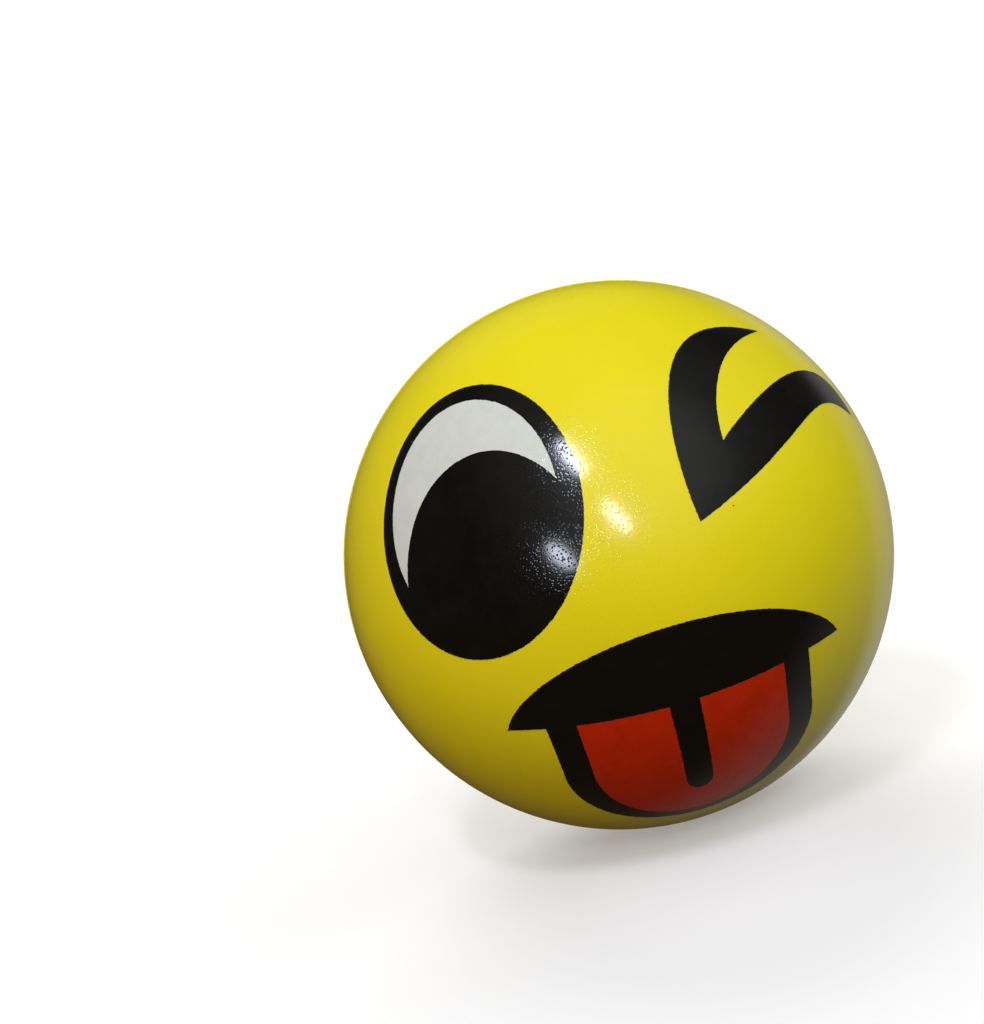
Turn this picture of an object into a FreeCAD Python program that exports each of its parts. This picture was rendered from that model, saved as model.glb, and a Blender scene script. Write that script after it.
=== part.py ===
import FreeCAD, Part
import Sketcher
import math
import os

# A squeezable foam ball with a winking face printed on its front.
# Frame: origin at the ball's centre, +Z through the crown, the face looks along -Y.
# The ball is one soft foam core inside a dense skin. The skin is formed in two mould
# halves that meet at a fine parting bead in the plane Y = 0. The face is five flat
# stencils, drawn in the X-Z plane and laid on the ball along Y as thin ink films.

V = FreeCAD.Vector
doc = FreeCAD.newDocument("stress_ball")

# ---------------------------------------------------------------- driving dimensions
sizes = doc.addObject("Spreadsheet::Sheet", "sizes")
DIMENSIONS = [
    # ball
    ("ball_radius", 31.5), ("skin_thickness", 1.0), ("ink_thickness", 0.05),
    ("bead_height", 0.1), ("bead_half_width", 0.15), ("press_length", 33.0),
    # open eye: ring, white and pupil ellipses
    ("ring_x", -14.8), ("ring_z", 11.4), ("ring_long", 14.4), ("ring_short", 9.9), ("ring_lean", 63.5),
    ("white_x", -15.3), ("white_z", 12.4), ("white_long", 12.0), ("white_short", 8.2), ("white_lean", 63.0),
    ("pupil_x", -14.6), ("pupil_z", 5.4), ("pupil_long", 13.5), ("pupil_short", 9.6), ("pupil_lean", 74.5),
    # shut eye: the corners where its curves meet, and the handles on the way out of and in to each
    ("wink_low_x", 6.7), ("wink_low_z", 6.1), ("wink_high_x", 20.9), ("wink_high_z", 21.2),
    ("wink_notch_x", 11.8), ("wink_notch_z", 13.0), ("wink_side_x", 28.6), ("wink_side_z", 9.1),
    ("wink_low_out_x", 5.8), ("wink_low_out_z", 13.2), ("wink_high_in_x", 6.5), ("wink_high_in_z", 29.7),
    ("wink_high_out_x", 14.5), ("wink_high_out_z", 22.4), ("wink_notch_in_x", 12.0), ("wink_notch_in_z", 17.4),
    ("wink_notch_out_x", 14.5), ("wink_notch_out_z", 14.7), ("wink_side_in_x", 26.5), ("wink_side_in_z", 21.4),
    ("wink_side_out_x", 24.2), ("wink_side_out_z", 15.2), ("wink_low_in_x", 22.5), ("wink_low_in_z", 10.8),
    # mouth: the upper lip is half an ellipse, the lower edge a shallow arc
    ("lip_x", 0.0), ("lip_z", -12.1), ("lip_long", 18.7), ("lip_short", 8.8), ("lip_lean", 0.0),
    ("jaw_radius", 131.0), ("jaw_low_z", -12.0),
    # tongue: outer and inner outline and the groove, each a U with nearly straight sides
    ("outer_top_half", 14.6), ("outer_half", 14.0), ("outer_top_z", -11.2), ("outer_bend_z", -17.0),
    ("outer_depth", 10.4),
    ("inner_top_half", 11.6), ("inner_half", 11.0), ("inner_top_z", -10.0), ("inner_bend_z", -17.5),
    ("inner_depth", 9.1),
    ("groove_top_half", 1.7), ("groove_half", 1.5), ("groove_top_z", -10.0), ("groove_bend_z", -21.9),
    ("groove_depth", 1.5),
]
for row, (name, value) in enumerate(DIMENSIONS, start=1):
    sizes.set(f"A{row}", name)
    sizes.set(f"B{row}", str(value))
    sizes.setAlias(f"B{row}", name)
doc.recompute()


def size(name):
    """A driving dimension, as a number."""
    return float(sizes.get(name))


def named(sketch, name, kind, *where):
    """Add one constraint to a sketch under a name of its own."""
    number = sketch.addConstraint(Sketcher.Constraint(kind, *where))
    sketch.renameConstraint(number, name)


# ---------------------------------------------------------------- skin halves and core
def skin_half(label, side):
    """Half of the dense skin, turned about Y. side is -1 for the face half, +1 for the back."""
    outer, inner = size("ball_radius"), size("ball_radius") - size("skin_thickness")
    bead_y = side * size("bead_half_width")
    bead_x = (outer**2 - bead_y**2) ** 0.5
    crest_x = outer + size("bead_height")

    body = doc.addObject("PartDesign::Body", label)
    sketch = body.newObject("Sketcher::SketchObject", label + "_profile")
    plane = next(o for o in body.Origin.OriginFeatures if o.Role == "XY_Plane")
    sketch.AttachmentSupport = [(plane, "")]
    sketch.MapMode = "FlatFace"

    def arc(radius, x_from, x_to):
        """An arc about the ball's centre, between two points given by their distance from Y."""
        middle_x = (x_from + x_to) / 2
        points = [V(x, side * max(radius**2 - x * x, 0.0) ** 0.5, 0) for x in (x_from, middle_x, x_to)]
        return Part.Arc(*points)

    outside = sketch.addGeometry(arc(outer, 0.0, bead_x))
    rise = sketch.addGeometry(Part.LineSegment(V(bead_x, bead_y, 0), V(crest_x, 0, 0)))
    seam = sketch.addGeometry(Part.LineSegment(V(crest_x, 0, 0), V(inner, 0, 0)))
    inside = sketch.addGeometry(arc(inner, inner, 0.0))
    pole = sketch.addGeometry(Part.LineSegment(V(0, side * inner, 0), V(0, side * outer, 0)))

    # an arc is kept anticlockwise, so its first and last points depend on the side
    start, end = (1, 2) if side < 0 else (2, 1)
    sketch.addConstraint([
        Sketcher.Constraint("Coincident", outside, 3, -1, 1),
        Sketcher.Constraint("Coincident", inside, 3, -1, 1),
        Sketcher.Constraint("Coincident", outside, end, rise, 1),
        Sketcher.Constraint("Coincident", rise, 2, seam, 1),
        Sketcher.Constraint("Coincident", seam, 2, inside, end),
        Sketcher.Constraint("Coincident", inside, start, pole, 1),
        Sketcher.Constraint("Coincident", pole, 2, outside, start),
        Sketcher.Constraint("PointOnObject", pole, 1, -2),
        Sketcher.Constraint("PointOnObject", pole, 2, -2),
        Sketcher.Constraint("PointOnObject", seam, 1, -1),
        Sketcher.Constraint("PointOnObject", seam, 2, -1),
    ])
    named(sketch, "outside_radius", "Radius", outside, outer)
    named(sketch, "inside_radius", "Radius", inside, inner)
    named(sketch, "crest", "DistanceX", -1, 1, seam, 1, crest_x)
    if side < 0:
        named(sketch, "bead", "DistanceY", rise, 1, -1, 1, abs(bead_y))
    else:
        named(sketch, "bead", "DistanceY", -1, 1, rise, 1, abs(bead_y))
    sketch.setExpression("Constraints.outside_radius", "sizes.ball_radius")
    sketch.setExpression("Constraints.inside_radius", "sizes.ball_radius - sizes.skin_thickness")
    sketch.setExpression("Constraints.crest", "sizes.ball_radius + sizes.bead_height")
    sketch.setExpression("Constraints.bead", "sizes.bead_half_width")

    turned = body.newObject("PartDesign::Revolution", label + "_turned")
    turned.Profile = sketch
    turned.ReferenceAxis = (sketch, ["V_Axis"])
    turned.Angle = 360.0
    body.Tip = turned
    return body


skins = [skin_half("front_skin", -1), skin_half("back_skin", 1)]

core = doc.addObject("Part::Sphere", "foam_core")
core.setExpression("Radius", "sizes.ball_radius - sizes.skin_thickness")


# ---------------------------------------------------------------- stencils of the face
UPRIGHT = FreeCAD.Placement(V(0, 0, 0), FreeCAD.Rotation(V(1, 0, 0), 90))


def face_sketch(name):
    """An empty sketch whose x is the frame's X, whose y is Z, and whose normal is -Y."""
    sketch = doc.addObject("Sketcher::SketchObject", name)
    sketch.Placement = UPRIGHT
    return sketch


def pressed(sketch):
    """The prism that a stencil sweeps from the mid plane to in front of the ball."""
    prism = doc.addObject("Part::Extrusion", sketch.Name + "_prism")
    prism.Base = sketch
    prism.DirMode = "Custom"
    prism.Dir = V(0, -1, 0)
    prism.Solid = True
    prism.FaceMakerClass = "Part::FaceMakerBullseye"
    prism.setExpression("LengthFwd", "sizes.press_length")
    return prism


def ellipse(name):
    """A leaning ellipse from the cells name_x, name_z, name_long, name_short and name_lean."""
    centre = V(size(name + "_x"), size(name + "_z"), 0)
    long_way = FreeCAD.Rotation(V(0, 0, 1), size(name + "_lean")).multVec(V(1, 0, 0))
    short_way = V(-long_way.y, long_way.x, 0)
    sketch = face_sketch(name)
    curve = Part.Ellipse(centre + long_way * size(name + "_long"),
                         centre + short_way * size(name + "_short"), centre)
    rim = sketch.addGeometry(curve)
    sketch.exposeInternalGeometry(rim)
    long_axis, short_axis = rim + 1, rim + 2
    named(sketch, "centre_x", "DistanceX", rim, 3, -1, 1, -centre.x)
    named(sketch, "centre_z", "DistanceY", -1, 1, rim, 3, centre.y)
    named(sketch, "long_axis", "Distance", long_axis, 2 * size(name + "_long"))
    named(sketch, "short_axis", "Distance", short_axis, 2 * size(name + "_short"))
    # the long axis is drawn from its upper end down, half a turn from its lean
    named(sketch, "lean", "Angle", long_axis, math.radians(size(name + "_lean") - 180))
    sketch.setExpression("Constraints.centre_x", f"-sizes.{name}_x")
    sketch.setExpression("Constraints.centre_z", f"sizes.{name}_z")
    sketch.setExpression("Constraints.long_axis", f"2 * sizes.{name}_long")
    sketch.setExpression("Constraints.short_axis", f"2 * sizes.{name}_short")
    sketch.setExpression("Constraints.lean", f"sizes.{name}_lean * 1 deg - 180 deg")
    return pressed(sketch)


def circle(name, radius_cell, low_cell):
    """A large circle on the mid line, bound to its radius and to the height of its lowest point."""
    radius, low = size(radius_cell), size(low_cell)
    sketch = face_sketch(name)
    rim = sketch.addGeometry(Part.Circle(V(0, low + radius, 0), V(0, 0, 1), radius))
    sketch.addConstraint(Sketcher.Constraint("PointOnObject", rim, 3, -2))
    named(sketch, "radius", "Radius", rim, radius)
    named(sketch, "centre_z", "DistanceY", -1, 1, rim, 3, low + radius)
    sketch.setExpression("Constraints.radius", f"sizes.{radius_cell}")
    sketch.setExpression("Constraints.centre_z", f"sizes.{low_cell} + sizes.{radius_cell}")
    return pressed(sketch)


def tongue_shape(name):
    """A U open at the top: two nearly straight sides down to a bend, then half an ellipse."""
    top, bend, depth = size(name + "_top_z"), size(name + "_bend_z"), size(name + "_depth")
    top_half, half = size(name + "_top_half"), size(name + "_half")
    sketch = face_sketch(name)
    corners = [V(-top_half, top, 0), V(-half, bend, 0), V(half, bend, 0), V(top_half, top, 0)]
    middle = V(0, bend, 0)
    if half > depth:
        whole = Part.Ellipse(V(half, bend, 0), V(0, bend + depth, 0), middle)
        bowl = Part.ArcOfEllipse(whole, math.pi, 2 * math.pi)
    else:
        bowl = Part.ArcOfCircle(Part.Circle(middle, V(0, 0, 1), half), math.pi, 2 * math.pi)
    left = sketch.addGeometry(Part.LineSegment(corners[0], corners[1]))
    bottom = sketch.addGeometry(bowl)
    right = sketch.addGeometry(Part.LineSegment(corners[2], corners[3]))
    lid = sketch.addGeometry(Part.LineSegment(corners[3], corners[0]))
    for one, one_end, other, other_end in [
        (left, 2, bottom, 1), (bottom, 2, right, 1), (right, 2, lid, 1), (lid, 2, left, 1)
    ]:
        sketch.addConstraint(Sketcher.Constraint("Coincident", one, one_end, other, other_end))
    sketch.addConstraint(Sketcher.Constraint("Symmetric", left, 1, right, 2, -2))
    sketch.addConstraint(Sketcher.Constraint("Symmetric", left, 2, right, 1, -2))
    named(sketch, "top_half", "DistanceX", -1, 1, right, 2, top_half)
    named(sketch, "top_z", "DistanceY", right, 2, -1, 1, -top)
    named(sketch, "half", "DistanceX", -1, 1, right, 1, half)
    named(sketch, "bend_z", "DistanceY", right, 1, -1, 1, -bend)
    sketch.setExpression("Constraints.top_half", f"sizes.{name}_top_half")
    sketch.setExpression("Constraints.top_z", f"-sizes.{name}_top_z")
    sketch.setExpression("Constraints.half", f"sizes.{name}_half")
    sketch.setExpression("Constraints.bend_z", f"-sizes.{name}_bend_z")
    return pressed(sketch)


def wink_shape():
    """The shut eye: four smooth curves that meet in a low point, two tips and an inner notch."""
    def at(name):
        return V(size(f"wink_{name}_x"), size(f"wink_{name}_z"), 0)

    corners = ["low", "high", "notch", "side"]
    sketch = face_sketch("wink")
    edges = []
    for corner, following in zip(corners, corners[1:] + corners[:1]):
        bezier = Part.BezierCurve()
        bezier.setPoles([at(corner), at(corner + "_out"), at(following + "_in"), at(following)])
        edges.append(sketch.addGeometry(bezier.toBSpline()))
    for edge, following in zip(edges, edges[1:] + edges[:1]):
        sketch.addConstraint(Sketcher.Constraint("Coincident", edge, 2, following, 1))
    for edge, corner in zip(edges, corners):
        named(sketch, corner + "_x", "DistanceX", -1, 1, edge, 1, at(corner).x)
        named(sketch, corner + "_z", "DistanceY", -1, 1, edge, 1, at(corner).y)
        sketch.setExpression(f"Constraints.{corner}_x", f"sizes.wink_{corner}_x")
        sketch.setExpression(f"Constraints.{corner}_z", f"sizes.wink_{corner}_z")
    return pressed(sketch)


def boolean(kind, name, base, tool):
    """One boolean of two objects: kind is Cut, Fuse or Common."""
    result = doc.addObject("Part::" + kind, name)
    result.Base, result.Tool = base, tool
    return result


def ink_film(label, stencil):
    """The film that a stencil leaves: its prism's share of a thin shell around the ball."""
    inner = doc.addObject("Part::Sphere", label + "_under")
    inner.setExpression("Radius", "sizes.ball_radius")
    outer = doc.addObject("Part::Sphere", label + "_over")
    outer.setExpression("Radius", "sizes.ball_radius + sizes.ink_thickness")
    shell = boolean("Cut", label + "_shell", outer, inner)
    return boolean("Common", label, shell, stencil)


# The crescent of white is what the pupil leaves of the white ellipse, and the black is
# the ring's ellipse without that crescent.
crescent = boolean("Cut", "crescent", ellipse("white"), ellipse("pupil"))
eye_black = boolean("Cut", "eye_black", ellipse("ring"), crescent)

# The lips are the part of an ellipse above the jaw's arc. The red of the tongue hangs
# below the same arc inside its outline, and the groove parts it down to a round end.
jaw = circle("jaw", "jaw_radius", "jaw_low_z")
lips = boolean("Common", "lips", ellipse("lip"), jaw)
hanging = boolean("Cut", "hanging", tongue_shape("inner"), jaw)
red = boolean("Cut", "red", hanging, tongue_shape("groove"))
mouth_whole = boolean("Fuse", "mouth_whole", lips, tongue_shape("outer"))
mouth_black = boolean("Cut", "mouth_black", mouth_whole, red)

prints = [
    ink_film("eye_white_print", crescent),
    ink_film("eye_black_print", eye_black),
    ink_film("wink_print", wink_shape()),
    ink_film("mouth_black_print", mouth_black),
    ink_film("tongue_red_print", red),
]

# ---------------------------------------------------------------- check and write
doc.recompute()
nodes = skins + [core] + prints
broken = [o.Name for o in doc.Objects if "Invalid" in o.State or "Error" in o.State]
if broken:
    raise RuntimeError("objects that did not compute: " + ", ".join(broken))
for node in nodes:
    if node.Shape.isNull() or not node.Shape.isValid() or not node.Shape.Solids:
        raise RuntimeError(node.Label + " has no sound solid")

os.makedirs("parts", exist_ok=True)
for node in nodes:
    node.Shape.exportStep(f"parts/{node.Label}.step")
    box = node.Shape.BoundBox
    print(f"{node.Label:18s} {len(node.Shape.Solids)} solid  {node.Shape.Volume:11.3f} mm3  "
          f"X {box.XMin:7.2f} {box.XMax:7.2f}  Y {box.YMin:7.2f} {box.YMax:7.2f}  Z {box.ZMin:7.2f} {box.ZMax:7.2f}")
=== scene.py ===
import bmesh
import bpy
import math
from mathutils import Matrix, Vector
from mathutils.geometry import delaunay_2d_cdt


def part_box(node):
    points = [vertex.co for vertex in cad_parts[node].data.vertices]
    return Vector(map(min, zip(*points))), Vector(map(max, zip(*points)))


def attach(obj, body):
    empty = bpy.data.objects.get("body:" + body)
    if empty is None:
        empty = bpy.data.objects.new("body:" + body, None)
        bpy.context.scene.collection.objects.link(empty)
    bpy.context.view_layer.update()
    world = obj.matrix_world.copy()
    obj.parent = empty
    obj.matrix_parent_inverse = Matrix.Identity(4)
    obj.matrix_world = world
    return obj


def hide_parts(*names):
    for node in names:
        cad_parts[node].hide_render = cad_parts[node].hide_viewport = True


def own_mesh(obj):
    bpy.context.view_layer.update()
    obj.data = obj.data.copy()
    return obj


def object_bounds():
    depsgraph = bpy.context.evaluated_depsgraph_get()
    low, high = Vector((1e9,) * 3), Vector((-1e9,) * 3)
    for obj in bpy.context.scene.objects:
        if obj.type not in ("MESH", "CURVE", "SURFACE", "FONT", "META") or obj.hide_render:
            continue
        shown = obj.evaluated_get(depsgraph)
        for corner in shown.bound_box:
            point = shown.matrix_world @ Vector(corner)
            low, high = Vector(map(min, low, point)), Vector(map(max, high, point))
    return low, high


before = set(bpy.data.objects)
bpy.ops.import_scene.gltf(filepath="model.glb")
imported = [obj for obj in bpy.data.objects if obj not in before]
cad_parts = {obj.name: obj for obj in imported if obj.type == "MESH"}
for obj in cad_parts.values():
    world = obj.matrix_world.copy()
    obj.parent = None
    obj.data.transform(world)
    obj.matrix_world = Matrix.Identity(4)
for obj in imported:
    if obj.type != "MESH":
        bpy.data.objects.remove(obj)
cad_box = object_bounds()

# ------------------------------------------------------------------ skin, two halves
# The outside of the ball is a dense polyurethane skin that forms against the mould. Its
# two halves meet at a fine parting bead in the plane Y = 0, and the whole ball is sprayed
# with a flexible yellow lacquer.
MM = 0.001
low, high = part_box("front_skin")
ball_radius = -low[1]
bead_height = high[2] - ball_radius
bead_half_width = 0.15 * MM
skin_thickness = 1.0 * MM
dome_rows, bead_rows, inner_rows, skin_columns = 96, 8, 40, 360
sharp_angle = 0.6
weld_distance = 1e-6
gloss_roughness, gloss_ior = 0.13, 1.5


def add(tree, kind, links=(), **settings):
    """Add one node. settings are its own properties, links pairs of an input and a value or output."""
    node = tree.nodes.new(kind)
    for name, value in settings.items():
        setattr(node, name, value)
    for name, value in links:
        if isinstance(value, bpy.types.NodeSocket):
            tree.links.new(value, node.inputs[name])
        else:
            node.inputs[name].default_value = value
    return node


def colour(hex_code):
    """An sRGB hex colour as linear red, green and blue, with an alpha of 1."""
    parts = [int(hex_code[n:n + 2], 16) / 255 for n in (1, 3, 5)]
    return [c / 12.92 if c <= 0.04045 else ((c + 0.055) / 1.055) ** 2.4 for c in parts] + [1.0]


def half_section(side):
    """Points of the half skin's section in the X-Y plane: outer pole, bead, inner pole."""
    bead_angle = math.asin(bead_half_width / ball_radius)
    dome = [(math.pi / 2 - bead_angle) * n / dome_rows for n in range(dome_rows + 1)]
    points = [(ball_radius * math.sin(a), side * ball_radius * math.cos(a)) for a in dome]
    for n in range(1, bead_rows + 1):
        share = 1 - n / bead_rows
        foot = ball_radius - ball_radius * (1 - math.cos(bead_angle)) * share
        points.append((foot + bead_height * (1 - share**2), side * bead_half_width * share))
    inner = ball_radius - skin_thickness
    for n in range(inner_rows + 1):
        a = math.pi / 2 * (1 - n / inner_rows)
        points.append((inner * math.sin(a), side * inner * math.cos(a)))
    return [(x, y, 0) for x, y in (points if side < 0 else reversed(points))]


def lathe_tree():
    """Geometry nodes that turn a section, a row of points in the X-Y plane, about the Y axis."""
    tree = bpy.data.node_groups.new("turned_about_y", "GeometryNodeTree")
    tree.is_modifier = True
    for name, kind in [("Section", "NodeSocketGeometry"), ("Around", "NodeSocketInt"),
                       ("Sharp Angle", "NodeSocketFloat"), ("Material", "NodeSocketMaterial")]:
        tree.interface.new_socket(name, in_out="INPUT", socket_type=kind)
    tree.interface.new_socket("Mesh", in_out="OUTPUT", socket_type="NodeSocketGeometry")
    given = add(tree, "NodeGroupInput").outputs
    count = add(tree, "GeometryNodeAttributeDomainSize", [("Geometry", given["Section"])])
    columns = add(tree, "ShaderNodeMath", [(0, given["Around"]), (1, 1.0)], operation="ADD")
    grid = add(tree, "GeometryNodeMeshGrid", [("Vertices X", count.outputs["Point Count"]),
                                              ("Vertices Y", columns.outputs[0])])
    index = add(tree, "GeometryNodeInputIndex")
    row = add(tree, "ShaderNodeMath", [(0, index.outputs[0]), (1, columns.outputs[0])], operation="DIVIDE")
    whole_row = add(tree, "ShaderNodeMath", [(0, row.outputs[0])], operation="FLOOR")
    column = add(tree, "ShaderNodeMath", [(0, index.outputs[0]), (1, columns.outputs[0])],
                 operation="MODULO")
    share = add(tree, "ShaderNodeMath", [(0, column.outputs[0]), (1, given["Around"])],
                operation="DIVIDE")
    turn = add(tree, "ShaderNodeMath", [(0, share.outputs[0]), (1, 2 * math.pi)],
               operation="MULTIPLY")
    place = add(tree, "GeometryNodeInputPosition")
    point = add(tree, "GeometryNodeSampleIndex", data_type="FLOAT_VECTOR", domain="POINT")
    tree.links.new(given["Section"], point.inputs["Geometry"])
    tree.links.new(place.outputs[0], point.inputs["Value"])
    tree.links.new(whole_row.outputs[0], point.inputs["Index"])
    turned = add(tree, "ShaderNodeVectorRotate",
                 [("Vector", point.outputs[0]), ("Angle", turn.outputs[0])], rotation_type="Y_AXIS")
    moved = add(tree, "GeometryNodeSetPosition", [("Geometry", grid.outputs["Mesh"]),
                                                  ("Position", turned.outputs[0])])
    closed = add(tree, "GeometryNodeMergeByDistance",
                 [("Geometry", moved.outputs[0]), ("Distance", weld_distance)])
    finish_tree(tree, closed.outputs[0], given["Sharp Angle"], given["Material"])
    return tree


def finish_tree(tree, mesh, limit, material):
    """End a tree: smooth faces with edges past an angle limit kept sharp, realized, with its material."""
    smooth = add(tree, "GeometryNodeSetShadeSmooth", [("Geometry", mesh), ("Shade Smooth", True)],
                 domain="FACE")
    angle = add(tree, "GeometryNodeInputMeshEdgeAngle")
    sharp = add(tree, "FunctionNodeCompare", [("A", angle.outputs[0]), ("B", limit)],
                data_type="FLOAT", operation="GREATER_THAN")
    edges = add(tree, "GeometryNodeSetShadeSmooth",
                [("Geometry", smooth.outputs[0]), ("Selection", sharp.outputs[0]), ("Shade Smooth", False)],
                domain="EDGE")
    real = add(tree, "GeometryNodeRealizeInstances", [("Geometry", edges.outputs[0])])
    painted = add(tree, "GeometryNodeSetMaterial", [("Geometry", real.outputs[0]), ("Material", material)])
    add(tree, "NodeGroupOutput", [("Mesh", painted.outputs[0])])


def made_by(tree, name, mesh, values):
    """Run a tree on a mesh with the given inputs, and keep the result as a plain mesh object."""
    seed_object = bpy.data.objects.new(name + "_seed", mesh)
    bpy.context.collection.objects.link(seed_object)
    modifier = seed_object.modifiers.new("shape", "NODES")
    modifier.node_group = tree
    for item in tree.interface.items_tree:
        if item.item_type == "SOCKET" and item.in_out == "INPUT" and item.name in values:
            modifier[item.identifier] = values[item.name]
    evaluated = seed_object.evaluated_get(bpy.context.evaluated_depsgraph_get())
    result = bpy.data.meshes.new_from_object(evaluated)
    result.name = name
    bpy.data.objects.remove(seed_object)
    piece = bpy.data.objects.new(name, result)
    bpy.context.collection.objects.link(piece)
    return piece


def pinholed(tree, place, spacing=0.31 * MM, reach=0.46, depth=0.0115 * MM, wave_width=7 * MM,
             wave_depth=0.005 * MM):
    """The bumps under the gloss: the foam's shallow round pinholes, on faint broad waves."""
    cells = add(tree, "ShaderNodeTexVoronoi", [("Vector", place), ("Scale", 1 / spacing)])
    pits = add(tree, "ShaderNodeMapRange", [("Value", cells.outputs["Distance"]), ("From Max", reach)],
               interpolation_type="SMOOTHSTEP")
    waves = add(tree, "ShaderNodeTexNoise", [("Vector", place), ("Scale", 1 / wave_width), ("Detail", 1.0)])
    broad = add(tree, "ShaderNodeBump", [("Strength", 1.0), ("Distance", wave_depth),
                                         ("Height", waves.outputs[0])])
    return add(tree, "ShaderNodeBump", [("Strength", 1.0), ("Distance", depth), ("Height", pits.outputs[0]),
                                        ("Normal", broad.outputs[0])]).outputs[0]


def specked(tree, place, tint, speck, spacing=8 * MM, radius=0.13 * MM, core_share=0.7):
    """A tint with a few small round specks of dust sunk in it, each solid out to core_share."""
    cells = add(tree, "ShaderNodeTexVoronoi", [("Vector", place), ("Scale", 1 / spacing)])
    clear = add(tree, "ShaderNodeMapRange", [("Value", cells.outputs["Distance"]),
                                             ("From Min", core_share * radius / spacing),
                                             ("From Max", radius / spacing)])
    return add(tree, "ShaderNodeMix", [("Factor", clear.outputs[0]), (6, speck), (7, tint)],
               data_type="RGBA").outputs[2]


def new_material(name):
    """An empty node material with its output and a Principled shader."""
    material = bpy.data.materials.new(name)
    material.use_nodes = True
    tree = material.node_tree
    tree.nodes.clear()
    shader = add(tree, "ShaderNodeBsdfPrincipled")
    add(tree, "ShaderNodeOutputMaterial", [("Surface", shader.outputs[0])])
    return material, tree, shader


def yellow_lacquer():
    """Flexible yellow PU lacquer, sprayed: an even, saturated yellow under a wet-looking gloss."""
    cloud_width = 14 * MM
    material, tree, shader = new_material("yellow_pu_lacquer_sprayed")
    place = add(tree, "ShaderNodeTexCoord").outputs["Object"]
    cloud = add(tree, "ShaderNodeTexNoise", [("Vector", place), ("Scale", 1 / cloud_width),
                                             ("Detail", 3.0)])
    tint = add(tree, "ShaderNodeMix", [("Factor", cloud.outputs[0]), (6, colour("#E2D312")),
                                       (7, colour("#EBDC1C"))], data_type="RGBA")
    tree.links.new(specked(tree, place, tint.outputs[2], colour("#3A300C")), shader.inputs["Base Color"])
    tree.links.new(pinholed(tree, place), shader.inputs["Normal"])
    shader.inputs["Roughness"].default_value = gloss_roughness
    shader.inputs["IOR"].default_value = gloss_ior
    return material


skin_material = yellow_lacquer()
turned = lathe_tree()
for node, body, side in [("front_skin", "front", -1), ("back_skin", "back", 1)]:
    section = bpy.data.meshes.new(node + "_section")
    section.from_pydata(half_section(side), [], [])
    half = made_by(turned, node + "_moulded", section,
                   {"Around": skin_columns, "Sharp Angle": sharp_angle, "Material": skin_material})
    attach(half, body)
    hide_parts(node)
    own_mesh(half)

# ------------------------------------------------------------------ foam core
# The core is soft open-cell polyurethane foam, poured as a liquid that fills the mould
# and bonds to the skin as it rises. It gives the squeeze and is not seen from outside.
core_gap = 0.02 * MM
core_rows, core_columns = 90, 180


def core_section():
    """Half a circle from pole to pole, just inside the skin."""
    r = ball_radius - skin_thickness - core_gap
    angles = [math.pi * n / core_rows for n in range(core_rows + 1)]
    return [(r * math.sin(a), -r * math.cos(a), 0) for a in angles]


def open_foam():
    """Open-cell PU foam, as poured: pale straw, small open cells with painted shade in their pits, dull all
    over.
    """
    cell_width, cell_depth = 0.5 * MM, 0.1 * MM
    material, tree, shader = new_material("pu_foam_open_cell")
    place = add(tree, "ShaderNodeTexCoord").outputs["Object"]
    cells = add(tree, "ShaderNodeTexVoronoi", [("Vector", place), ("Scale", 1 / cell_width)])
    # The cell pattern is the foam's own, but the darker tint in each cell's middle, where the bump sinks a
    # pit, is painted shade.
    tint = add(tree, "ShaderNodeMix", [("Factor", cells.outputs["Distance"]), (6, colour("#C9B56A")),
                                       (7, colour("#EADCA0"))], data_type="RGBA")
    pits = add(tree, "ShaderNodeBump", [("Strength", 1.0), ("Distance", cell_depth),
                                        ("Height", cells.outputs["Distance"])])
    tree.links.new(tint.outputs[2], shader.inputs["Base Color"])
    tree.links.new(pits.outputs[0], shader.inputs["Normal"])
    shader.inputs["Roughness"].default_value = 0.9
    return material


section = bpy.data.meshes.new("core_section")
section.from_pydata(core_section(), [], [])
core = made_by(turned, "foam_core_poured", section,
               {"Around": core_columns, "Sharp Angle": sharp_angle, "Material": open_foam()})
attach(core, "back")
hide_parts("foam_core")
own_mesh(core)

# ------------------------------------------------------------------ printed face
# The face is pad printed in white, black and red flexible ink over the lacquer. Each
# colour is a thin film with a slightly ragged edge, and the films meet edge to edge. The
# stencils are drawn flat, in millimetres across (X) and up (Z).
ink_thickness = 0.05 * MM
edge_depth, edge_period = 0.20 * MM, 0.30 * MM
outline_step, filling_step, filling_row = 0.12, 0.55, 0.866
same_point = 1e-5


def plate_to_sheet(x, z):
    """From the flat stencil to the sheet that wraps the ball with its radii unstretched."""
    r = ball_radius / MM
    across = math.hypot(x, z)
    return Vector((x, z)) * (r * math.asin(min(across / r, 1.0)) / max(across, same_point))


def ellipse_loop(centre, long_half, short_half, lean_degrees=0.0):
    """An ellipse about a centre, its long axis leaning up from X."""
    lean = Matrix.Rotation(math.radians(lean_degrees), 2)
    steps = int(2 * math.pi * long_half / outline_step)
    angles = [2 * math.pi * n / steps for n in range(steps)]
    return [Vector(centre) + lean @ Vector((long_half * math.cos(a), short_half * math.sin(a)))
            for a in angles]


def line_points(start, end):
    """Points from start up to, but not at, end."""
    steps = max(1, int((Vector(end) - Vector(start)).length / outline_step))
    return [Vector(start).lerp(Vector(end), n / steps) for n in range(steps)]


def tongue_loop(top_half, half, top_z, bend_z, depth):
    """A U with nearly straight sides down to a bend and half an ellipse below it."""
    steps = int(math.pi * half / outline_step)
    angles = [math.pi * n / steps for n in range(steps)]
    bowl = [Vector((-half * math.cos(a), bend_z - depth * math.sin(a))) for a in angles]
    return (line_points((-top_half, top_z), (-half, bend_z)) + bowl
            + line_points((half, bend_z), (top_half, top_z))
            + line_points((top_half, top_z), (-top_half, top_z)))


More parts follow.
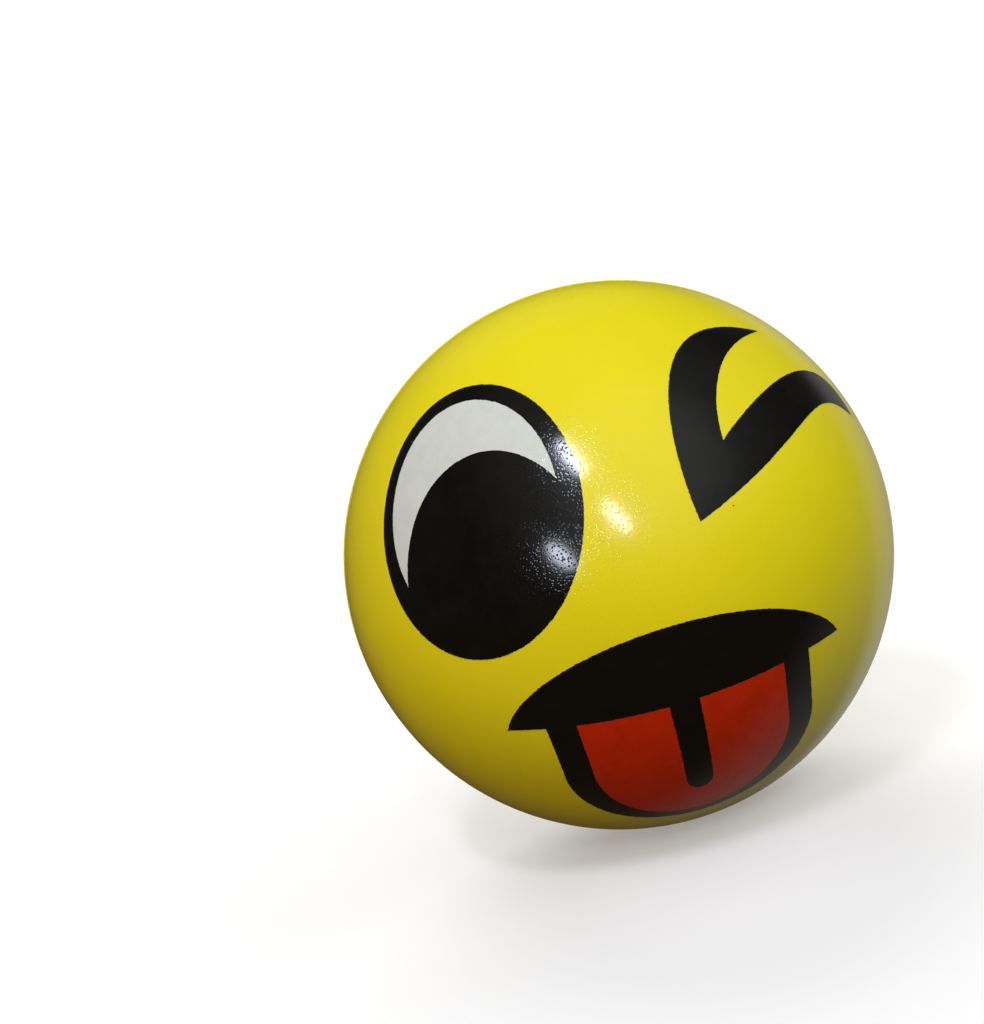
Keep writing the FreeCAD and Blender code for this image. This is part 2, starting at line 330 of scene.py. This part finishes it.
def jaw_loop(radius, low_z, half_width, top_z):
    """The area above a shallow arc: the arc itself, then up and over."""
    reach = math.asin(half_width / radius)
    steps = int(2 * half_width / outline_step)
    angles = [reach * (2 * n / steps - 1) for n in range(steps)]
    arc = [Vector((radius * math.sin(a), low_z + radius * (1 - math.cos(a)))) for a in angles]
    end_z = low_z + radius * (1 - math.cos(reach))
    return (arc + line_points((half_width, end_z), (half_width, top_z))
            + line_points((half_width, top_z), (-half_width, top_z))
            + line_points((-half_width, top_z), (-half_width, end_z)))


def curve_points(start, start_handle, end_handle, end):
    """Points of one Bezier curve, up to but not at its end."""
    curve_over_chord = 1.2
    a, b, c, d = (Vector(p) for p in (start, start_handle, end_handle, end))
    steps = int((d - a).length * curve_over_chord / outline_step)
    shares = [n / steps for n in range(steps)]
    return [a * (1 - s)**3 + b * 3 * s * (1 - s)**2 + c * 3 * s**2 * (1 - s) + d * s**3 for s in shares]


def stencils(loops, wanted):
    """Cut overlapping outlines into triangles. wanted maps a film's name to a test on the names
    of the loops around a triangle. Returns each film as a flat mesh on the sheet. Where two
    films meet, their edge points are the same."""
    points, faces = [], []
    for loop in loops.values():
        turn = sum(a.cross(b) for a, b in zip(loop, loop[1:] + loop[:1]))
        numbers = list(range(len(points), len(points) + len(loop)))
        faces.append(numbers if turn > 0 else numbers[::-1])
        points += [plate_to_sheet(*p) for p in loop]
    reach = max(max(abs(p.x), abs(p.y)) for p in points)
    count = int(reach / filling_step) + 1
    for row in range(-count, count + 1):
        for column in range(-count, count + 1):
            stagger = 0.5 * (row % 2)
            points.append(Vector(((column + stagger) * filling_step, row * filling_step * filling_row)))
    verts, _, triangles, _, _, inside = delaunay_2d_cdt(points, [], faces, 0, same_point)
    names = list(loops)
    meshes = {}
    for film, test in wanted.items():
        chosen = [t for t, around in zip(triangles, inside) if test({names[n] for n in around})]
        used = {v: n for n, v in enumerate(sorted({v for t in chosen for v in t}))}
        mesh = bpy.data.meshes.new(film + "_stencil")
        mesh.from_pydata([(verts[v].x * MM, 0, verts[v].y * MM) for v in used], [],
                         [[used[v] for v in t] for t in chosen])
        meshes[film] = mesh
    return meshes


def ink_tree():
    """Geometry nodes that lay a stencil on the ball, let it wander as a pad print does, and thicken it."""
    tree = bpy.data.node_groups.new("ink_laid_on_ball", "GeometryNodeTree")
    tree.is_modifier = True
    for name, kind in [("Stencil", "NodeSocketGeometry"), ("Ball Radius", "NodeSocketFloat"),
                       ("Thickness", "NodeSocketFloat"), ("Edge Depth", "NodeSocketFloat"),
                       ("Edge Period", "NodeSocketFloat"), ("Sharp Angle", "NodeSocketFloat"),
                       ("Material", "NodeSocketMaterial")]:
        tree.interface.new_socket(name, in_out="INPUT", socket_type=kind)
    tree.interface.new_socket("Mesh", in_out="OUTPUT", socket_type="NodeSocketGeometry")
    given = add(tree, "NodeGroupInput").outputs
    place = add(tree, "GeometryNodeInputPosition").outputs[0]
    scale = add(tree, "ShaderNodeMath", [(0, 1.0), (1, given["Edge Period"])], operation="DIVIDE")
    wander = add(tree, "ShaderNodeTexNoise", [("Vector", place), ("Scale", scale.outputs[0]),
                                              ("Detail", 1.0)])
    centred = add(tree, "ShaderNodeVectorMath", [(0, wander.outputs["Color"]), (1, (0.5, 0.5, 0.5))],
                  operation="SUBTRACT")
    flat = add(tree, "ShaderNodeVectorMath", [(0, centred.outputs[0]), (1, (1, 0, 1))],
               operation="MULTIPLY")
    shift = add(tree, "ShaderNodeVectorMath", [(0, flat.outputs[0]), ("Scale", given["Edge Depth"])],
                operation="SCALE")
    sheet = add(tree, "ShaderNodeVectorMath", [(0, place), (1, shift.outputs[0])], operation="ADD")
    length = add(tree, "ShaderNodeVectorMath", [(0, sheet.outputs[0])], operation="LENGTH")
    angle = add(tree, "ShaderNodeMath", [(0, length.outputs["Value"]), (1, given["Ball Radius"])],
                operation="DIVIDE")
    sine = add(tree, "ShaderNodeMath", [(0, angle.outputs[0])], operation="SINE")
    cosine = add(tree, "ShaderNodeMath", [(0, angle.outputs[0])], operation="COSINE")
    heading = add(tree, "ShaderNodeVectorMath", [(0, sheet.outputs[0])], operation="NORMALIZE")
    outward = add(tree, "ShaderNodeVectorMath", [(0, heading.outputs[0]), ("Scale", sine.outputs[0])],
                  operation="SCALE")
    forward = add(tree, "ShaderNodeVectorMath", [(0, (0, -1, 0)), ("Scale", cosine.outputs[0])],
                  operation="SCALE")
    normal = add(tree, "ShaderNodeVectorMath", [(0, outward.outputs[0]), (1, forward.outputs[0])],
                 operation="ADD")
    on_ball = add(tree, "ShaderNodeVectorMath", [(0, normal.outputs[0]), ("Scale", given["Ball Radius"])],
                  operation="SCALE")
    laid = add(tree, "GeometryNodeSetPosition", [("Geometry", given["Stencil"]),
                                                 ("Position", on_ball.outputs[0])])
    out = add(tree, "GeometryNodeInputPosition")
    radial = add(tree, "ShaderNodeVectorMath", [(0, out.outputs[0])], operation="NORMALIZE")
    raised = add(tree, "GeometryNodeExtrudeMesh",
                 [("Mesh", laid.outputs[0]), ("Offset", radial.outputs[0]),
                  ("Offset Scale", given["Thickness"]), ("Individual", False)], mode="FACES")
    under = add(tree, "GeometryNodeFlipFaces", [("Mesh", laid.outputs[0])])
    both = add(tree, "GeometryNodeJoinGeometry")
    tree.links.new(under.outputs[0], both.inputs[0])
    tree.links.new(raised.outputs[0], both.inputs[0])
    closed = add(tree, "GeometryNodeMergeByDistance",
                 [("Geometry", both.outputs[0]), ("Distance", weld_distance)])
    finish_tree(tree, closed.outputs[0], given["Sharp Angle"], given["Material"])
    return tree


def flexible_ink(name, thin_hex, full_hex, speck_hex):
    """Flexible pad-print ink: opaque colour, faintly mottled where the pad left less of it, as
    glossy as the lacquer and with the same pinholes."""
    mottle_width, thin_below, full_above = 2.2 * MM, 0.3, 0.6
    material, tree, shader = new_material(name)
    place = add(tree, "ShaderNodeTexCoord").outputs["Object"]
    mottle = add(tree, "ShaderNodeTexNoise", [("Vector", place), ("Scale", 1 / mottle_width),
                                              ("Detail", 4.0), ("Roughness", 0.6)])
    cover = add(tree, "ShaderNodeMapRange", [("Value", mottle.outputs[0]), ("From Min", thin_below),
                                             ("From Max", full_above)])
    tint = add(tree, "ShaderNodeMix", [("Factor", cover.outputs[0]), (6, colour(thin_hex)),
                                       (7, colour(full_hex))], data_type="RGBA")
    tree.links.new(specked(tree, place, tint.outputs[2], colour(speck_hex)), shader.inputs["Base Color"])
    tree.links.new(pinholed(tree, place), shader.inputs["Normal"])
    shader.inputs["Roughness"].default_value = gloss_roughness
    shader.inputs["IOR"].default_value = gloss_ior
    return material


black_ink = flexible_ink("black_ink_pad_printed", "#100F0B", "#0A0907", "#5A5748")
white_ink = flexible_ink("white_ink_pad_printed", "#CBD0C6", "#D1D6CC", "#8C8D86")
red_ink = flexible_ink("red_ink_pad_printed", "#BC2605", "#C92A04", "#6E1404")



def is_white(around):
    """White shows inside the white's outline where the pupil doesn't cover it."""
    return "white" in around and "pupil" not in around


def is_red(around):
    """Red shows inside the tongue's outline, below the jaw's arc and clear of the groove."""
    return "inner" in around and "jaw" not in around and "groove" not in around


eye = stencils(
    {"ring": ellipse_loop((-14.8, 11.4), 14.4, 9.9, 63.5),
     "white": ellipse_loop((-15.3, 12.4), 12.0, 8.2, 63.0),
     "pupil": ellipse_loop((-14.6, 5.4), 13.5, 9.6, 74.5)},
    {"eye_white_print": is_white,
     "eye_black_print": lambda around: "ring" in around and not is_white(around)})

low_point, high_tip, notch, side_tip = (6.7, 6.1), (20.9, 21.2), (11.8, 13.0), (28.6, 9.1)
wink = stencils(
    {"wink": curve_points(low_point, (5.8, 13.2), (6.5, 29.7), high_tip)
     + curve_points(high_tip, (14.5, 22.4), (12.0, 17.4), notch)
     + curve_points(notch, (14.5, 14.7), (26.5, 21.4), side_tip)
     + curve_points(side_tip, (24.2, 15.2), (22.5, 10.8), low_point)},
    {"wink_print": lambda around: "wink" in around})

mouth = stencils(
    {"lip": ellipse_loop((0, -12.1), 18.7, 8.8),
     "jaw": jaw_loop(radius=131.0, low_z=-12.0, half_width=19.5, top_z=-2.0),
     "outer": tongue_loop(top_half=14.6, half=14.0, top_z=-11.2, bend_z=-17.0, depth=10.4),
     "inner": tongue_loop(top_half=11.6, half=11.0, top_z=-10.0, bend_z=-17.5, depth=9.1),
     "groove": tongue_loop(top_half=1.7, half=1.5, top_z=-10.0, bend_z=-21.9, depth=1.5)},
    {"mouth_black_print": lambda around: ("lip" in around and "jaw" in around)
     or ("outer" in around and not is_red(around)),
     "tongue_red_print": is_red})

laid_ink = ink_tree()
flat_films = {**eye, **wink, **mouth}
for node, material, slot in [("eye_white_print", white_ink, "white_ink"),
                             ("eye_black_print", black_ink, "black_ink"),
                             ("wink_print", black_ink, "black_ink"),
                             ("mouth_black_print", black_ink, "black_ink"),
                             ("tongue_red_print", red_ink, "red_ink")]:
    film = made_by(laid_ink, node + "_film", flat_films[node],
                   {"Ball Radius": ball_radius, "Thickness": ink_thickness, "Edge Depth": edge_depth,
                    "Edge Period": edge_period, "Sharp Angle": sharp_angle, "Material": material})
    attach(film, "front")
    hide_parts(node)
    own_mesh(film)

# ------------------------------------------------------------------ studio
# A round, pale, seamless backdrop whose floor curves up into a wall on every side, three
# small bright lights that show in the gloss, and large soft ones that only shade the ball.
floor_z = cad_box[0][2]
floor_radius, sweep_radius, wall_height = 1.5, 0.5, 2.0
sweep_steps, turn_steps = 24, 96


def seamless_bowl():
    """A round floor that turns up into a wall in one quarter round. It glows a little, more so away from
    the ball:
    the glow is painted light that stands in for the lamps' light on the backdrop, weak near the ball so its
    shadow shows and strong farther out, where the lamps' light falls off. It takes the ball's shadow but
    puts no light, reflection or shadow on it."""
    profile = [(0.0, floor_z), (floor_radius, floor_z)]
    for n in range(1, sweep_steps + 1):
        a = math.pi / 2 * n / sweep_steps
        profile.append((floor_radius + sweep_radius * math.sin(a),
                        floor_z + sweep_radius * (1 - math.cos(a))))
    profile.append((floor_radius + sweep_radius, floor_z + wall_height))
    shape = bmesh.new()
    row = [shape.verts.new((r, 0, z)) for r, z in profile]
    edges = [shape.edges.new(pair) for pair in zip(row, row[1:])]
    bmesh.ops.spin(shape, geom=row + edges, cent=(0, 0, 0), axis=(0, 0, 1), angle=2 * math.pi,
                   steps=turn_steps, use_merge=True)
    bmesh.ops.remove_doubles(shape, verts=shape.verts, dist=1e-5)
    mesh = bpy.data.meshes.new("seamless_bowl")
    shape.to_mesh(mesh)
    shape.free()
    for face in mesh.polygons:
        face.use_smooth = True
    material, tree, shader = new_material("white_paper_matte")
    shader.inputs["Base Color"].default_value = colour("#D9D8D5")
    shader.inputs["Emission Color"].default_value = colour("#FFFFFF")
    place = add(tree, "ShaderNodeTexCoord").outputs["Object"]
    reach = add(tree, "ShaderNodeVectorMath", [(0, place)], operation="LENGTH").outputs["Value"]
    # Painted light: the backdrop's glow, weak near the ball and strong away from it, in place of the lamps'
    # light there.
    glow = add(tree, "ShaderNodeMapRange",
               [("Value", reach), ("From Min", 0.3), ("From Max", 1.4), ("To Min", 0.26), ("To Max", 0.92)],
               interpolation_type="SMOOTHSTEP")
    tree.links.new(glow.outputs[0], shader.inputs["Emission Strength"])
    shader.inputs["Roughness"].default_value = 0.95
    mesh.materials.append(material)
    bowl = bpy.data.objects.new("seamless_bowl", mesh)
    bpy.context.collection.objects.link(bowl)
    bowl.visible_glossy = bowl.visible_diffuse = bowl.visible_shadow = False


seamless_bowl()


def way(azimuth, elevation):
    """The unit vector towards an azimuth and elevation in degrees: 0, 0 is -Y and 90, 0 is +X."""
    az, el = math.radians(azimuth), math.radians(elevation)
    return Vector((math.cos(el) * math.sin(az), -math.cos(el) * math.cos(az), math.sin(el)))


def area_light(name, direction, distance, width, height, power, along=(0, 0, 1), tint="#FFFFFF",
               in_gloss=False):
    """An oval light that faces the ball from a direction, with its height along the given way."""
    light = bpy.data.lights.new(name, "AREA")
    light.shape, light.size, light.size_y, light.energy = "ELLIPSE", width, height, power
    light.color = colour(tint)[:3]
    back = Vector(direction).normalized()
    right = Vector(along).cross(back).normalized()
    lamp = bpy.data.objects.new(name, light)
    lamp.matrix_world = Matrix((right, back.cross(right), back)).transposed().to_4x4()
    lamp.location = back * distance
    lamp.visible_glossy = in_gloss
    lamp.visible_camera = False
    bpy.context.collection.objects.link(lamp)


glint_distance, soft_distance, soft_size = 0.8, 1.2, 0.9
for name, direction, width, height, power, along in [
    ("upper_glint", (-0.163, -0.594, 0.788), 0.07, 0.26, 1.8, (0.098, -0.435, -0.259)),
    ("middle_glint", (-0.009, -0.910, 0.413), 0.08, 0.23, 0.98, (0.116, -0.121, -0.267)),
    ("lower_glint", (-0.441, -0.861, 0.255), 0.08, 0.19, 0.85, (0.126, -0.121, -0.2)),
]:
    area_light(name, direction, glint_distance, width, height, power, along=along, tint="#E6EDFF",
               in_gloss=True)
for name, direction, power in [
    ("front_soft", way(0, 40), 2.0), ("right_soft", way(60, 30), 3.0),
    ("right_back_soft", way(115, 25), 3.0), ("left_back_soft", way(-115, 25), 3.0),
    ("back_soft", way(180, 35), 11.0),
]:
    area_light(name, direction, soft_distance, soft_size, soft_size, power)
area_light("low_warm", way(-45, 6), soft_distance, 0.6, 0.4, 2.4, tint="#FFC27A")


def room_light():
    """A dim room, warmer below, with a broad pale glow above the front and one low behind the
    right side. Each glow is full within its inner angle and gone past its outer one, in degrees."""
    below, above, blend_height = (0.06, 0.042, 0.025, 1), (0.045, 0.045, 0.045, 1), 0.3
    glows = [(way(20, 42), 12, 45, 0.45), (way(20, 50), 35, 70, 0.16),
             (way(148, -10), 19, 29, 0.24), (way(130, -40), 15, 45, 0.16)]
    world = bpy.data.worlds.new("room")
    world.use_nodes = True
    tree = world.node_tree
    tree.nodes.clear()
    ray = add(tree, "ShaderNodeTexCoord").outputs["Generated"]
    height = add(tree, "ShaderNodeSeparateXYZ", [(0, ray)]).outputs["Z"]
    rise = add(tree, "ShaderNodeMapRange", [("Value", height), ("From Min", -blend_height),
                                            ("From Max", blend_height)], interpolation_type="SMOOTHSTEP")
    total = add(tree, "ShaderNodeMix", [("Factor", rise.outputs[0]), (6, below), (7, above)],
                data_type="RGBA").outputs[2]
    for direction, inner, outer, radiance in glows:
        toward = add(tree, "ShaderNodeVectorMath", [(0, ray), (1, direction)], operation="DOT_PRODUCT")
        glow = add(tree, "ShaderNodeMapRange",
                   [("Value", toward.outputs["Value"]), ("From Min", math.cos(math.radians(outer))),
                    ("From Max", math.cos(math.radians(inner))), ("To Max", radiance)],
                   interpolation_type="SMOOTHSTEP")
        total = add(tree, "ShaderNodeMix", [("Factor", 1.0), (6, total), (7, glow.outputs[0])],
                    data_type="RGBA", blend_type="ADD").outputs[2]
    back = add(tree, "ShaderNodeBackground", [("Color", total), ("Strength", 1.0)])
    add(tree, "ShaderNodeOutputWorld", [("Surface", back.outputs[0])])
    return world


bpy.context.scene.world = room_light()
bpy.context.scene.view_settings.view_transform = "Standard"

camera_right = Vector((0.9563, -0.0797, -0.2813))
camera_up = Vector((0.2897, 0.1266, 0.9487))
camera = bpy.data.objects.new("camera", bpy.data.cameras.new("camera"))
camera.data.sensor_width = 36.0
camera.data.lens = 91.33
camera.matrix_world = Matrix((camera_right, camera_up, camera_right.cross(camera_up))).transposed().to_4x4()
camera.location = Vector((-24.45, -294.46, 51.92)) * MM
bpy.context.collection.objects.link(camera)
bpy.context.scene.camera = camera
